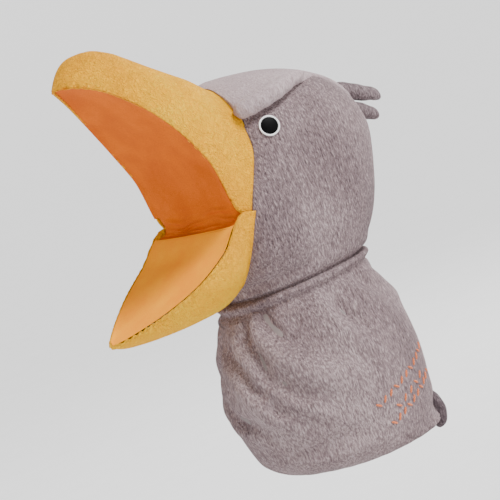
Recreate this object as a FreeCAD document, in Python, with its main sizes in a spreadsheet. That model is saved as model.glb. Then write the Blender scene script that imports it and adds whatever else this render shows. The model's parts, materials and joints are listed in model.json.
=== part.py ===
import FreeCAD, Part
import math
import os

# Moving mouth bird puppet, in millimetres. The arm comes in from below, the beak points to -Y,
# +X is the bird's left. The origin is the centre of the round arm opening, in the hem's plane.

doc = FreeCAD.newDocument("BirdPuppet")
sheet = doc.addObject("Spreadsheet::Sheet", "Sizes")

SIZES = [
    # cloth layers
    ("plush", 3.0), ("velour", 2.0), ("board", 2.0), ("lining", 1.2), ("gap", 0.4),
    # arm opening and sleeve
    ("opening_radius", 45.0), ("facing_height", 14.0), ("facing_wall", 1.6),
    ("sleeve_height", 133.5), ("sleeve_half_width", 64.0), ("sleeve_half_depth", 74.0),
    ("shoulder_height", 105.0),
    # neck
    ("neck_z", 135.5), ("neck_half_width", 50.0), ("neck_half_depth", 55.0), ("neck_y", -13.0),
    ("neck_cord_radius", 1.1), ("tape_width", 8.0), ("tape_wall", 1.0),
    # head
    ("head_top", 281.0), ("head_half_width", 62.5), ("head_half_depth", 67.5), ("head_y", 12.0),
    ("jowl_top", 160.0), ("crown_half_width", 39.0), ("crown_bottom", 226.0),
    ("hand_half_width", 42.0), ("hand_half_depth", 44.0), ("hand_top", 236.0),
    # mouth
    ("mouth_y", -65.0), ("mouth_z", 194.5), ("mouth_half_width", 55.0),
    ("upper_lift", 61.3), ("jaw_drop", 26.2), ("fold_radius", 2.6),
    ("jaw_spare", 9.0),
    # upper beak
    ("upper_length", 150.0), ("upper_height", 88.0), ("upper_arch", 16.5),
    ("finger_half_width", 36.0), ("finger_half_height", 12.0), ("finger_depth", 92.0),
    # lower beak
    ("lower_length", 113.0), ("lower_depth", 44.0), ("lower_dish", 5.5),
    ("thumb_half_width", 20.0), ("thumb_half_height", 8.5), ("thumb_depth", 54.0),
    # face
    ("eye_y", -18.0), ("eye_z", 242.0), ("eye_radius", 7.4), ("pupil_radius", 6.2),
    ("eye_yaw", 62.0), ("eye_pitch", 14.0), ("eye_wall", 1.4),
    ("brow_length", 68.0), ("brow_radius", 6.5), ("brow_x", 44.5), ("brow_y", 0.0), ("brow_z", 262.0),
    # crest feathers and tail
    ("crest_y", 77.0), ("crest_z", 241.0), ("crest_length", 36.0), ("crest_half_width", 7.5),
    ("crest_half_height", 5.5), ("crest_pitch", 25.0), ("lower_crest_share", 0.66),
    ("tail_behind", 4.0), ("tail_z", 13.0), ("tail_length", 29.0), ("tail_half_width", 10.0),
    ("tail_half_height", 4.5), ("cover", 1.5),
    # stitched motif
    ("stitch_length", 5.0), ("stitch_radius", 0.55), ("motif_z", 36.0), ("motif_pitch", 7.5),
]

for row, (alias, value) in enumerate(SIZES, start=1):
    sheet.set("A%d" % row, alias)
    sheet.set("B%d" % row, str(value))
    sheet.setAlias("B%d" % row, alias)
doc.recompute()

X_AXIS, Y_AXIS, Z_AXIS = (FreeCAD.Vector(*v) for v in ((1, 0, 0), (0, 1, 0), (0, 0, 1)))
FAR = 600.0          # larger than the puppet, for half spaces
RING_POINTS = 24     # points round a skin section
made = []


def size(alias):
    return float(sheet.get(alias))


def keep(node, shape, placement=None):
    """A sub-part whose shape is a free form, with its place put on after."""
    part = doc.addObject("Part::Feature", node)
    part.Label = node
    part.Shape = shape
    if placement is not None:
        part.Placement = placement.multiply(part.Placement)
    made.append(part)
    return part


def primitive(kind, name, bindings, placement=None):
    """A Part primitive whose sizes follow the sheet."""
    part = doc.addObject(kind, name)
    for prop, cell in bindings.items():
        part.setExpression(prop, cell)
    if placement is not None:
        part.Placement = placement
    return part


def block(low, high):
    return Part.makeBox(high[0] - low[0], high[1] - low[1], high[2] - low[2], FreeCAD.Vector(*low))


# Section helpers ------------------------------------------------------------------------------

def ring(z, half_x, half_y, y, power=2.25):
    """A closed smooth section at height z, a little squarer than an ellipse."""
    points = []
    for i in range(RING_POINTS):
        a = 2 * math.pi * i / RING_POINTS
        c, s = math.cos(a), math.sin(a)
        points.append(FreeCAD.Vector(
            half_x * math.copysign(abs(c) ** (2 / power), c),
            y + half_y * math.copysign(abs(s) ** (2 / power), s), z))
    curve = Part.BSplineCurve()
    curve.interpolate(Points=points, PeriodicFlag=True)
    return Part.Wire([curve.toShape()])


def arch(y, half_x, low, high, power=2.35):
    """A D-shaped section across the beak: a flat side at low, and a round side that ends at high."""
    steps = 16
    points = []
    for i in range(steps + 1):
        a = math.pi * i / steps
        c, s = math.cos(a), math.sin(a)
        points.append(FreeCAD.Vector(
            half_x * math.copysign(abs(c) ** (2 / power), c), y,
            low + (high - low) * max(s, 0.0) ** (2 / power)))
    curve = Part.BSplineCurve()
    curve.interpolate(Points=points)
    return Part.Wire([curve.toShape(), Part.makeLine(points[-1], points[0])])


# Skins: each gives the solid inside its surface, moved inwards by an offset ---------------------

def hem_radius():
    return size("opening_radius") + size("facing_wall") + size("gap") + size("plush")


def sleeve_solid(inward, low, high):
    wide, deep = size("sleeve_half_width"), size("sleeve_half_depth")
    mouth = hem_radius()
    top = size("sleeve_height")
    neck_x, neck_y = size("neck_half_width") - 1.5, size("neck_half_depth") - 1.0
    middle = size("neck_y") - 7.0
    # height, half width, half depth, centre: the bottom tucks in to the arm opening
    stations = [
        (-2.0, mouth, mouth, 0.0), (0.0, mouth, mouth, 0.0),
        (0.05 * top, max(0.86 * wide, mouth + 5.0), max(0.82 * deep, mouth + 0.6 - 0.5 * middle), 0.5 * middle),
        (0.17 * top, max(0.94 * wide, mouth + 5.0), max(0.92 * deep, mouth - 0.9 * middle), 0.9 * middle),
        (0.34 * top, 0.985 * wide, 0.98 * deep, 0.97 * middle),
        (0.49 * top, wide, deep, middle),
        (0.65 * top, 0.955 * wide, 0.96 * deep, 0.96 * middle),
        (0.81 * top, neck_x + 0.45 * (wide - neck_x), neck_y + 0.52 * (deep - neck_y), 0.85 * middle),
        (0.95 * top, neck_x + 0.5, neck_y + 2.0, size("neck_y") - 1.5),
        (top + 1.0, neck_x, neck_y, size("neck_y")),
    ]
    body = Part.makeLoft([ring(z, x - inward, y - inward, c) for z, x, y, c in stations], True)
    return body.common(block((-FAR, -FAR, low), (FAR, FAR, high)))


def head_solid(inward, low):
    wide, deep, back = size("head_half_width"), size("head_half_depth"), size("head_y")
    start, top = size("neck_z"), size("head_top")
    rise = top - start
    neck_x, neck_y, front = size("neck_half_width"), size("neck_half_depth"), size("neck_y")
    # share of the rise, half width, half depth, centre
    stations = [
        (0.0, neck_x, neck_y, front),
        (0.07, neck_x + 0.32 * (wide - neck_x), neck_y + 0.32 * (deep - neck_y), front + 0.2 * (back - front)),
        (0.17, neck_x + 0.64 * (wide - neck_x), neck_y + 0.6 * (deep - neck_y), front + 0.44 * (back - front)),
        (0.285, neck_x + 0.84 * (wide - neck_x), neck_y + 0.8 * (deep - neck_y), front + 0.68 * (back - front)),
        (0.41, 0.992 * wide, 0.985 * deep, front + 0.88 * (back - front)),
        (0.545, wide, deep, back), (0.685, 0.976 * wide, 0.963 * deep, 0.83 * back),
        (0.78, 0.912 * wide, 0.889 * deep, 0.5 * back), (0.855, 0.816 * wide, 0.785 * deep, 0.08 * back),
        (0.925, 0.656 * wide, 0.622 * deep, -0.42 * back), (0.973, 0.432 * wide, 0.43 * deep, -1.08 * back),
        (1.0, 0.144 * wide, 0.178 * deep, -1.67 * back),
    ]
    body = Part.makeLoft([ring(start + share * (rise - inward), max(x - inward, 4.0), max(y - inward, 5.0), c)
                          for share, x, y, c in stations], True)
    return body.common(block((-FAR, -FAR, low), (FAR, FAR, FAR)))


def upper_rim(share):
    """Height of the upper beak's arched edge above the straight line from mouth corner to tip."""
    return size("upper_arch") * (1 - abs(2 * share / 1.05 - 1) ** 2.4)


def upper_solid(inward, floor, ceiling=None):
    """The upper beak from its edge, raised by floor, to its skin or to ceiling above that edge."""
    length, width = size("upper_length") - inward, size("mouth_half_width")
    wires = []
    for share in (0.0, 0.14, 0.28, 0.42, 0.56, 0.68, 0.79, 0.88, 0.945, 0.985):
        half = width * (1 - share ** 3) ** (2 / 3) - inward
        nose = 22.0 + (size("upper_height") - 22.0 - 40.0 * share) * math.sqrt(1 - share ** 12)
        low = upper_rim(share * length / size("upper_length")) + floor
        high = nose - inward if ceiling is None else low + ceiling
        wires.append(arch(-share * length, half, low, max(high, low + 1.0)))
    return Part.makeLoft(wires, True)


def lower_solid(inward, floor, depth=None):
    """The lower beak, from its dished edge, lowered by floor, down to its skin or by depth."""
    length, width = size("lower_length") - inward, size("mouth_half_width")
    wires = []
    for share in (0.0, 0.15, 0.3, 0.45, 0.6, 0.72, 0.83, 0.91, 0.965):
        half = width * (1 + 0.25 * share - 1.25 * share ** 2.6) ** 0.8 - inward
        low = -lower_dip(share * length / size("lower_length")) - floor
        keel = -size("lower_depth") * (1 - share ** 1.9) - 3.0 * (1 - share)
        high = keel + inward if depth is None else low - depth
        wires.append(arch(-share * length, half, low, min(high, low - 0.8)))
    return Part.makeLoft(wires, True)


def lower_dip(share):
    """How far the lower beak's edge dips below the straight line from mouth corner to tip."""
    return size("lower_dish") * math.sin(math.pi * share)


def edge_slab(length, edge, low, high):
    """The room that the velour and its board take: all that lies from low to high beside a beak half's edge."""
    half = 2 * size("mouth_half_width")
    wires = []
    for step in range(-1, 15):
        share = step / 13
        z, y = edge(share), -share * length
        corners = [FreeCAD.Vector(x, y, z + h) for x, h in ((-half, low), (half, low), (half, high), (-half, high))]
        wires.append(Part.makePolygon(corners + corners[:1]))
    return Part.makeLoft(wires, True, True)


def beak_place(turn):
    """From a beak half's own frame, with the hinge line on its X axis, to the row frame."""
    return FreeCAD.Placement(FreeCAD.Vector(0, size("mouth_y"), size("mouth_z")),
                             FreeCAD.Rotation(X_AXIS, turn))


UPPER = beak_place(-size("upper_lift"))
LOWER = beak_place(size("jaw_drop"))


def half_space(through, direction, shift):
    """Everything on one side of a plane that holds the X direction: the side that direction points to."""
    space = block((-FAR, 0, -FAR), (FAR, FAR, FAR))
    turn = FreeCAD.Rotation(Y_AXIS, direction)
    start = FreeCAD.Vector(0, through[0], through[1]) + direction * shift
    space.Placement = FreeCAD.Placement(start, turn)
    return space


def plane_normal(low, high):
    """Backward-pointing normal of the plane through two (y, z) points."""
    dy, dz = high[0] - low[0], high[1] - low[1]
    long = math.hypot(dy, dz)
    return FreeCAD.Vector(0, dz / long, -dy / long)


# Where the beak meets the head: one plane above the mouth corners and one below ---------------

HINGE = (size("mouth_y"), size("mouth_z"))
BROW_SEAM = (size("mouth_y") + 36.0, size("head_top") - 1.0)
CHIN_SEAM = (size("mouth_y") - 4.0, size("neck_z") + 6.5)
CHEEK_SEAM = (size("mouth_y") + 7.0, size("mouth_z") - 10.5)
upper_normal = plane_normal(HINGE, BROW_SEAM)
lower_normal = plane_normal(CHIN_SEAM, CHEEK_SEAM)
spare_normal = FreeCAD.Rotation(X_AXIS, size("jaw_spare")).multVec(lower_normal)


def ahead_of_seams(shift):
    """The space in front of both seams, moved back by shift, with room for the jaw to drop further."""
    up = FreeCAD.Vector(0, -upper_normal.z, upper_normal.y)
    down = FreeCAD.Vector(0, spare_normal.z, -spare_normal.y)
    start = FreeCAD.Vector(0, *HINGE) + upper_normal * shift
    cheek = FreeCAD.Vector(0, *CHEEK_SEAM) + spare_normal * (shift + 1.5)
    # where the two seam lines cross, just behind the hinge line
    reach = (cheek - start).dot(spare_normal) / up.dot(spare_normal)
    corner = start + up * reach
    outline = [corner, corner + up * FAR, FreeCAD.Vector(0, -2 * FAR, FAR), FreeCAD.Vector(0, -2 * FAR, -FAR),
               corner + down * FAR]
    face = Part.Face(Part.makePolygon(outline + outline[:1]))
    face.translate(X_AXIS * -FAR)
    return face.extrude(X_AXIS * 2 * FAR)


def behind_beak(shape, shift):
    """What is left of a head layer behind both seams."""
    return shape.cut(ahead_of_seams(shift))


def main_solids(shape, smallest=20.0):
    """The shape's solids without crumbs from a cut."""
    solids = [s for s in shape.Solids if s.Volume > smallest]
    return solids[0] if len(solids) == 1 else Part.makeCompound(solids)


# Sleeve ----------------------------------------------------------------------------------------

def build_sleeve():
    plush, gap, lining = size("plush"), size("gap"), size("lining")
    split, top = size("shoulder_height"), size("sleeve_height")
    skin = sleeve_solid(0, 0, top).cut(sleeve_solid(plush, -1, top + 1))
    bottom = skin.common(block((-FAR, -FAR, -1), (FAR, FAR, split)))
    shoulder = skin.common(block((-FAR, -FAR, split + gap), (FAR, FAR, FAR)))
    left = block((gap / 2, -FAR, -FAR), (FAR, FAR, FAR))
    right = block((-FAR, -FAR, -FAR), (-gap / 2, FAR, FAR))
    keep("sleeve_left_panel", main_solids(bottom.common(left)))
    keep("sleeve_right_panel", main_solids(bottom.common(right)))
    keep("shoulder_left_panel", main_solids(shoulder.common(left)))
    keep("shoulder_right_panel", main_solids(shoulder.common(right)))
    outer = sleeve_solid(plush + gap, size("facing_height") + gap, split)
    inner = sleeve_solid(plush + gap + lining, 0, split + 1)
    keep("sleeve_lining", main_solids(outer.cut(inner)))


def build_facing():
    outer = primitive("Part::Cylinder", "FacingOutside",
                      {"Radius": "Sizes.opening_radius + Sizes.facing_wall", "Height": "Sizes.facing_height"})
    inner = primitive("Part::Cylinder", "FacingBore",
                      {"Radius": "Sizes.opening_radius", "Height": "Sizes.facing_height"})
    facing = doc.addObject("Part::Cut", "HemFacing")
    facing.Base, facing.Tool, facing.Label = outer, inner, "hem_facing"
    made.append(facing)


def on_sleeve(skin, angle, z):
    """A point on the sleeve's outside at an angle from +X towards +Y, and the outward direction there."""
    centre = FreeCAD.Vector(0, size("neck_y") - 7.0, z)
    out = FreeCAD.Vector(math.cos(angle), math.sin(angle), 0)
    hit = skin.common(Part.makeLine(centre, centre + out * 150))
    point = max((v.Point for v in hit.Vertexes), key=lambda p: (p - centre).Length)
    return point, out


def build_motif():
    """Three short rows of slanting stitches, a plain running pattern."""
    stitches = []
    skin = sleeve_solid(0, 0, size("sleeve_height"))
    for line, count in enumerate((6, 4, 6)):
        for i in range(count):
            angle = math.radians(30 + 6.2 * (i - (count - 1) / 2) + 7.0)
            z = size("motif_z") + size("motif_pitch") * (1 - line) + 1.8 * (i % 2)
            point, out = on_sleeve(skin, angle, z)
            along = FreeCAD.Vector(-out.y, out.x, 1.2).normalize()
            start = point - along * (size("stitch_length") / 2)
            stitches.append(Part.makeCylinder(size("stitch_radius"), size("stitch_length"), start, along))
    keep("stitched_motif", Part.makeCompound(stitches))


# Neck ------------------------------------------------------------------------------------------

def build_neck():
    z, wall = size("neck_z"), size("tape_wall")
    reach_x, reach_y = size("neck_half_width"), size("neck_half_depth")
    inward = size("plush") + size("gap")
    low, high = z - size("tape_width") / 2, z + size("tape_width") / 2
    rings = []
    for take in (inward, inward + wall):
        rings.append(Part.makeLoft([ring(h, reach_x - 2.5 - take, reach_y - 2.5 - take, size("neck_y"))
                                    for h in (low, high)], True, True))
    keep("neck_seam_tape", rings[0].cut(rings[1]))
    spine = ring(z - 0.8, reach_x - 3.4, reach_y - 3.4, size("neck_y"))
    start = spine.Vertexes[0].Point
    profile = Part.Wire([Part.makeCircle(size("neck_cord_radius"), start, Y_AXIS)])
    pipe = spine.makePipeShell([profile], True, True)
    keep("neck_seam_cord", pipe)


# Head ------------------------------------------------------------------------------------------

def hand_solid(inward):
    """The space the hand works in: up through the neck, then forward into the beak."""
    half_x, half_y = size("hand_half_width") - inward, size("hand_half_depth") - inward
    top = size("hand_top") - inward
    stations = [(size("neck_z") - 2.0, 0.93 * half_x, 0.93 * half_y, size("neck_y")),
                (size("neck_z") + 30.0, half_x, half_y, size("neck_y") + 3.0),
                (size("mouth_z") + 5.0, half_x, half_y, size("neck_y") + 1.0),
                (top - 18.0, 0.92 * half_x, 0.9 * half_y, size("neck_y") - 3.0),
                (top, 0.6 * half_x, 0.55 * half_y, size("neck_y") - 8.0)]
    upright = Part.makeLoft([ring(z, x, y, c, 2.0) for z, x, y, c in stations], True)
    reach = Part.makeCylinder(size("finger_half_width") - inward, 80,
                              FreeCAD.Vector(0, size("neck_y"), size("mouth_z") - 6.0), -Y_AXIS)
    fingers = finger_tube(finger_height(), inward)
    fingers.Placement = UPPER
    return upright.fuse(reach).fuse(fingers)


def build_head():
    plush, gap, lining = size("plush"), size("gap"), size("lining")
    start, low = size("neck_z") + gap, size("jowl_top")
    skin = head_solid(0, start).cut(head_solid(plush, start - 2))
    skin = behind_beak(skin, gap).cut(hand_solid(-gap))
    wide, floor = size("crown_half_width"), size("crown_bottom")
    crown = block((-wide, -FAR, floor), (wide, FAR, FAR))
    around = block((-wide - gap, -FAR, floor - gap), (wide + gap, FAR, FAR))
    keep("crown_panel", main_solids(skin.common(crown)))
    upper = skin.common(block((-FAR, -FAR, low), (FAR, FAR, FAR))).cut(around)
    jowl = skin.common(block((-FAR, -FAR, start), (FAR, FAR, low - gap)))
    for side, sign in (("left", 1), ("right", -1)):
        half = block((min(sign * gap / 2, sign * FAR), -FAR, -FAR), (max(sign * gap / 2, sign * FAR), FAR, FAR))
        keep("head_%s_panel" % side, main_solids(upper.common(half)))
        keep("jowl_%s_panel" % side, main_solids(jowl.common(half)))
    hand_outer, hand_inner = hand_solid(0), hand_solid(lining)
    above = block((-FAR, -FAR, low + gap), (FAR, FAR, FAR))
    filling = head_solid(plush + gap, low + gap).cut(hand_solid(-gap))
    keep("head_filling", main_solids(behind_beak(filling, gap + 1.0), 500.0))
    glove = behind_beak(hand_outer.cut(hand_inner).common(above), gap + 1.0)
    keep("hand_lining", main_solids(glove, 100.0))


def build_eye(side, sign):
    """A white ring with a black disc inside it, sewn flat on the cheek."""
    facing = FreeCAD.Vector(sign * math.sin(math.radians(size("eye_yaw"))), -math.cos(math.radians(size("eye_yaw"))),
                            math.tan(math.radians(size("eye_pitch")))).normalize()
    turn = FreeCAD.Rotation(Z_AXIS, facing)
    skin = head_solid(0, size("jowl_top"))
    aim = FreeCAD.Vector(0, size("eye_y"), size("eye_z"))
    hit = skin.common(Part.makeLine(aim, aim + X_AXIS * sign * 150))
    spot = max((v.Point for v in hit.Vertexes), key=lambda p: abs(p.x))
    place = FreeCAD.Placement(spot - facing * 1.6, turn)
    ring_outer = primitive("Part::Cylinder", "EyeOutside_" + side,
                           {"Radius": "Sizes.eye_radius", "Height": "Sizes.eye_wall + 1.6"}, place)
    ring_inner = primitive("Part::Cylinder", "EyeInside_" + side,
                           {"Radius": "Sizes.pupil_radius", "Height": "Sizes.eye_wall + 1.6"}, place)
    eye = doc.addObject("Part::Cut", "EyeRing_" + side)
    eye.Base, eye.Tool, eye.Label = ring_outer, ring_inner, "eye_ring_" + side
    pupil = primitive("Part::Cylinder", "Pupil_" + side,
                      {"Radius": "Sizes.pupil_radius - 0.1", "Height": "Sizes.eye_wall + 1.8"}, place)
    pupil.Label = "pupil_" + side
    made.extend([eye, pupil])


def build_brow(side, sign):
    """A padded roll of plush that hangs over the cheek from the beak to the back of the crown."""
    brow = primitive("Part::Ellipsoid", "Brow_" + side, {
        "Radius1": "Sizes.brow_length / 2", "Radius2": "Sizes.brow_radius * 0.85", "Radius3": "Sizes.brow_radius"})
    run = FreeCAD.Vector(-sign * 0.06, 1.0, 0.02).normalize()
    brow.Placement = FreeCAD.Placement(
        FreeCAD.Vector(sign * size("brow_x"), size("brow_y"), size("brow_z")), FreeCAD.Rotation(Z_AXIS, run))
    brow.Label = "brow_" + side
    made.append(brow)


# Beak ------------------------------------------------------------------------------------------

def build_upper_beak():
    plush, gap, velour, board = size("plush"), size("gap"), size("velour"), size("board")
    lining = size("lining")
    base = half_space(HINGE, upper_normal * -1, gap)
    base.Placement = UPPER.inverse().multiply(base.Placement)
    ahead = block((-FAR, -FAR, -FAR), (FAR, -1.5 - size("fold_radius"), FAR))

    def beak(shape):
        return main_solids(shape.common(base).common(ahead), 100.0)

    keep("upper_beak_cover", beak(upper_solid(0, 1.2).cut(upper_solid(plush, 0.6))), UPPER)
    inside = upper_solid(plush + gap, 0.6 + gap)
    keep("palate_lining", beak(upper_solid(plush + gap, 1.4, velour).common(inside)), UPPER)
    over = 1.4 + velour + gap
    keep("palate_board", beak(upper_solid(plush + gap + 5.0, over, board).common(inside)), UPPER)
    over += board + gap
    pocket_z = finger_height()
    pocket = finger_tube(pocket_z, 0)
    room = edge_slab(size("upper_length"), upper_rim, -20.0, over + 0.1)
    stuffed = inside.cut(room)
    keep("upper_beak_filling", beak(stuffed.cut(finger_tube(pocket_z, -gap))), UPPER)
    keep("finger_pocket", beak(pocket.cut(finger_tube(pocket_z, lining))), UPPER)


def finger_height():
    """How far above the palate's straight edge line the middle of the finger pocket runs."""
    over = 1.4 + size("velour") + size("board") + 2 * size("gap")
    return size("upper_arch") + over + size("finger_half_height") + 1.0


def finger_tube(height, inward):
    """A flat pocket for four fingers, closed at its far end."""
    half_x, half_z = size("finger_half_width") - inward, size("finger_half_height") - inward
    far = size("finger_depth") - inward
    return pocket_tube(height, half_x, half_z, far, 40.0)


def pocket_tube(height, half_x, half_z, far, behind):
    wires = []
    for y, share in ((behind, 1.0), (0.0, 1.0), (-0.45 * far, 0.99), (-0.8 * far, 0.93), (-far, 0.7)):
        section = Part.Ellipse(FreeCAD.Vector(0, 0, 0), half_x * share, half_z * share).toShape()
        section.Placement = FreeCAD.Placement(FreeCAD.Vector(0, y, height), FreeCAD.Rotation(X_AXIS, 90))
        wires.append(Part.Wire([section]))
    return Part.makeLoft(wires, True)


def build_lower_beak():
    plush, gap, velour, board = size("plush"), size("gap"), size("velour"), size("board")
    lining = size("lining")
    base = half_space(CHEEK_SEAM, lower_normal * -1, 0)
    base.Placement = LOWER.inverse().multiply(base.Placement)
    ahead = block((-FAR, -FAR, -FAR), (FAR, -1.5 - size("fold_radius"), FAR))
    below = block((-FAR, -FAR, -FAR), (FAR, FAR, -size("fold_radius") - 1.0))

    def jaw(shape):
        return main_solids(shape.common(base).common(ahead.fuse(below)), 100.0)

    keep("lower_beak_cover", jaw(lower_solid(0, 1.2).cut(lower_solid(plush, 0.6))), LOWER)
    inside = lower_solid(plush + gap, 0.6 + gap)
    keep("jaw_lining", jaw(lower_solid(plush + gap, 1.4, velour).common(inside)), LOWER)
    under = 1.4 + velour + gap
    keep("jaw_board", jaw(lower_solid(plush + gap + 5.0, under, board).common(inside)), LOWER)
    under += board + gap
    height = -under - size("lower_dish") - size("thumb_half_height") - 0.8
    half_x, half_z, far = size("thumb_half_width"), size("thumb_half_height"), size("thumb_depth")
    room = pocket_tube(height, half_x + gap, half_z + gap, far + gap, 40.0)
    tube = pocket_tube(height, half_x, half_z, far, 40.0)
    bore = pocket_tube(height, half_x - lining, half_z - lining, far - lining, 40.0)
    slab = edge_slab(size("lower_length"), lambda share: -lower_dip(share), -under, 20.0)
    stuffed = inside.cut(slab)
    keep("lower_beak_filling", jaw(stuffed.cut(room)), LOWER)
    keep("thumb_pocket", jaw(tube.cut(bore)), LOWER)


def build_mouth_fold():
    """The gathered fold of mouth lining on the hinge line, from one corner to the other."""
    fold = primitive("Part::Cylinder", "MouthFold", {
        "Radius": "Sizes.fold_radius", "Height": "2 * (Sizes.mouth_half_width - Sizes.plush)"})
    fold.Placement = FreeCAD.Placement(
        FreeCAD.Vector(-(size("mouth_half_width") - size("plush")), size("mouth_y"), size("mouth_z")),
        FreeCAD.Rotation(Z_AXIS, X_AXIS))
    fold.Label = "mouth_fold"
    made.append(fold)


# Crest and tail --------------------------------------------------------------------------------

def leaf(length, half_width, half_height, inward=0.0):
    """A stuffed tab along +Y from its sewn root, fattest past the middle and blunt at the tip."""
    wires = []
    for share, fat in ((0.0, 0.62), (0.2, 0.86), (0.45, 1.0), (0.68, 0.94), (0.85, 0.7), (0.96, 0.36)):
        y = inward + share * (length - 2 * inward)
        x, z = half_width * fat - inward, half_height * fat - inward
        section = Part.Ellipse(FreeCAD.Vector(0, 0, 0), max(x, z + 0.2), max(z, 0.4)).toShape()
        section.Placement = FreeCAD.Placement(FreeCAD.Vector(0, y, 0), FreeCAD.Rotation(X_AXIS, 90))
        wires.append(Part.Wire([section]))
    return Part.makeLoft(wires, True)


def build_tab(node, length, half_width, half_height, place):
    cover, gap = size("cover"), 0.15
    whole = leaf(length, half_width, half_height)
    keep(node + "_cover", whole.cut(leaf(length, half_width, half_height, cover)), place)
    keep(node + "_filling", leaf(length, half_width, half_height, cover + gap), place)


def build_crest():
    length, half_x, half_z = size("crest_length"), size("crest_half_width"), size("crest_half_height")
    share = size("lower_crest_share")
    upper = FreeCAD.Placement(FreeCAD.Vector(0, size("crest_y"), size("crest_z")),
                              FreeCAD.Rotation(X_AXIS, -size("crest_pitch")))
    lower = FreeCAD.Placement(FreeCAD.Vector(0, size("crest_y") + 4.5, size("crest_z") - 16.0),
                              FreeCAD.Rotation(X_AXIS, -size("crest_pitch") - 4.0))
    build_tab("crest_upper", length, half_x, half_z, upper)
    build_tab("crest_lower", length * share, half_x, half_z, lower)


def build_tail():
    place = FreeCAD.Placement(FreeCAD.Vector(0, (hem_radius() + size("tail_behind")), size("tail_z")),
                              FreeCAD.Rotation(X_AXIS, -80))
    build_tab("tail", size("tail_length"), size("tail_half_width"), size("tail_half_height"), place)


build_sleeve()
build_facing()
build_motif()
build_neck()
build_head()
for side_name, side_sign in (("left", 1), ("right", -1)):
    build_eye(side_name, side_sign)
    build_brow(side_name, side_sign)
build_upper_beak()
build_lower_beak()
build_mouth_fold()
build_crest()
build_tail()
doc.recompute()

for item in doc.Objects:
    if "Invalid" in item.State or "Error" in item.State:
        raise RuntimeError("%s did not build: %s" % (item.Name, item.State))
for item in made:
    if item.Shape.isNull() or not item.Shape.isValid() or not item.Shape.Solids:
        raise RuntimeError("%s is not a valid solid" % item.Label)
    print("%-24s %2d solids %9.0f mm3" % (item.Label, len(item.Shape.Solids), item.Shape.Volume))

os.makedirs("parts", exist_ok=True)
for item in made:
    item.Shape.exportStep("parts/%s.step" % item.Label)
print("wrote", len(made), "parts")
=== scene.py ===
import bpy
import json
import math
import numpy as np
from mathutils import Matrix, Vector

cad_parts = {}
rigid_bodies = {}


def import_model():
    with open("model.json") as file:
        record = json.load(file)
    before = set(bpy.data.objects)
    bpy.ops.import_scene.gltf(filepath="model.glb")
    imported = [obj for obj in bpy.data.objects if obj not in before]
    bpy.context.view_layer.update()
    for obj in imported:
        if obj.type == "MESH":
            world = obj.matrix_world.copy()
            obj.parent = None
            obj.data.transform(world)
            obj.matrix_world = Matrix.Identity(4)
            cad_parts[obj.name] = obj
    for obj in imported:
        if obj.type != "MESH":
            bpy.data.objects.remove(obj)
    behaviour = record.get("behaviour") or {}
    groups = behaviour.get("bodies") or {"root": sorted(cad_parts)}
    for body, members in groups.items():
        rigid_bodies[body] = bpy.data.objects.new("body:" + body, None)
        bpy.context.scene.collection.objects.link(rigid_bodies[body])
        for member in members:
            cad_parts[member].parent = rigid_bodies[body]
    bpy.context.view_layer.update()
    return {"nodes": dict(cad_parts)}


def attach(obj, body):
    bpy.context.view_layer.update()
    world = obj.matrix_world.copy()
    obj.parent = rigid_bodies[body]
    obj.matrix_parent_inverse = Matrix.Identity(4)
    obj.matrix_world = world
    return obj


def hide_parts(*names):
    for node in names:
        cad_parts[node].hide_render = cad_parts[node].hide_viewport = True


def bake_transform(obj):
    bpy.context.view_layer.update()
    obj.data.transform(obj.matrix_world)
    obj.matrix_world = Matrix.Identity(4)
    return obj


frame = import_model()
print("frame loaded:", len(frame["nodes"]), "nodes")

# small helpers

def deselect():
    if bpy.context.object and bpy.context.object.mode != "OBJECT":
        bpy.ops.object.mode_set(mode="OBJECT")
    bpy.ops.object.select_all(action="DESELECT")


def activate(obj):
    deselect()
    obj.select_set(True)
    bpy.context.view_layer.objects.active = obj


def applyModifier(obj, kind, **settings):
    activate(obj)
    mod = obj.modifiers.new(kind.title(), kind)
    for key, value in settings.items():
        setattr(mod, key, value)
    bpy.ops.object.modifier_apply(modifier=mod.name)


def points(obj):
    co = np.zeros(len(obj.data.vertices) * 3)
    obj.data.vertices.foreach_get("co", co)
    return co.reshape(-1, 3)


def setPoints(obj, co):
    obj.data.vertices.foreach_set("co", np.asarray(co, float).ravel())
    obj.data.update()


def normals(obj):
    n = np.zeros(len(obj.data.vertices) * 3)
    obj.data.vertex_normals.foreach_get("vector", n)
    return n.reshape(-1, 3)


def tidyMesh(obj, merge=1e-5):
    activate(obj)
    bpy.ops.object.mode_set(mode="EDIT")
    bpy.ops.mesh.select_all(action="SELECT")
    bpy.ops.mesh.remove_doubles(threshold=merge)
    bpy.ops.mesh.normals_make_consistent(inside=False)
    bpy.ops.object.mode_set(mode="OBJECT")
    bpy.ops.object.shade_smooth()


def thicken(obj, cloth):
    # the plush's own thickness, towards the inside
    applyModifier(obj, "SOLIDIFY", thickness=cloth, offset=-1.0)


swelling = {"frames": 20, "quality": 6, "mass": 0.2}


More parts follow.
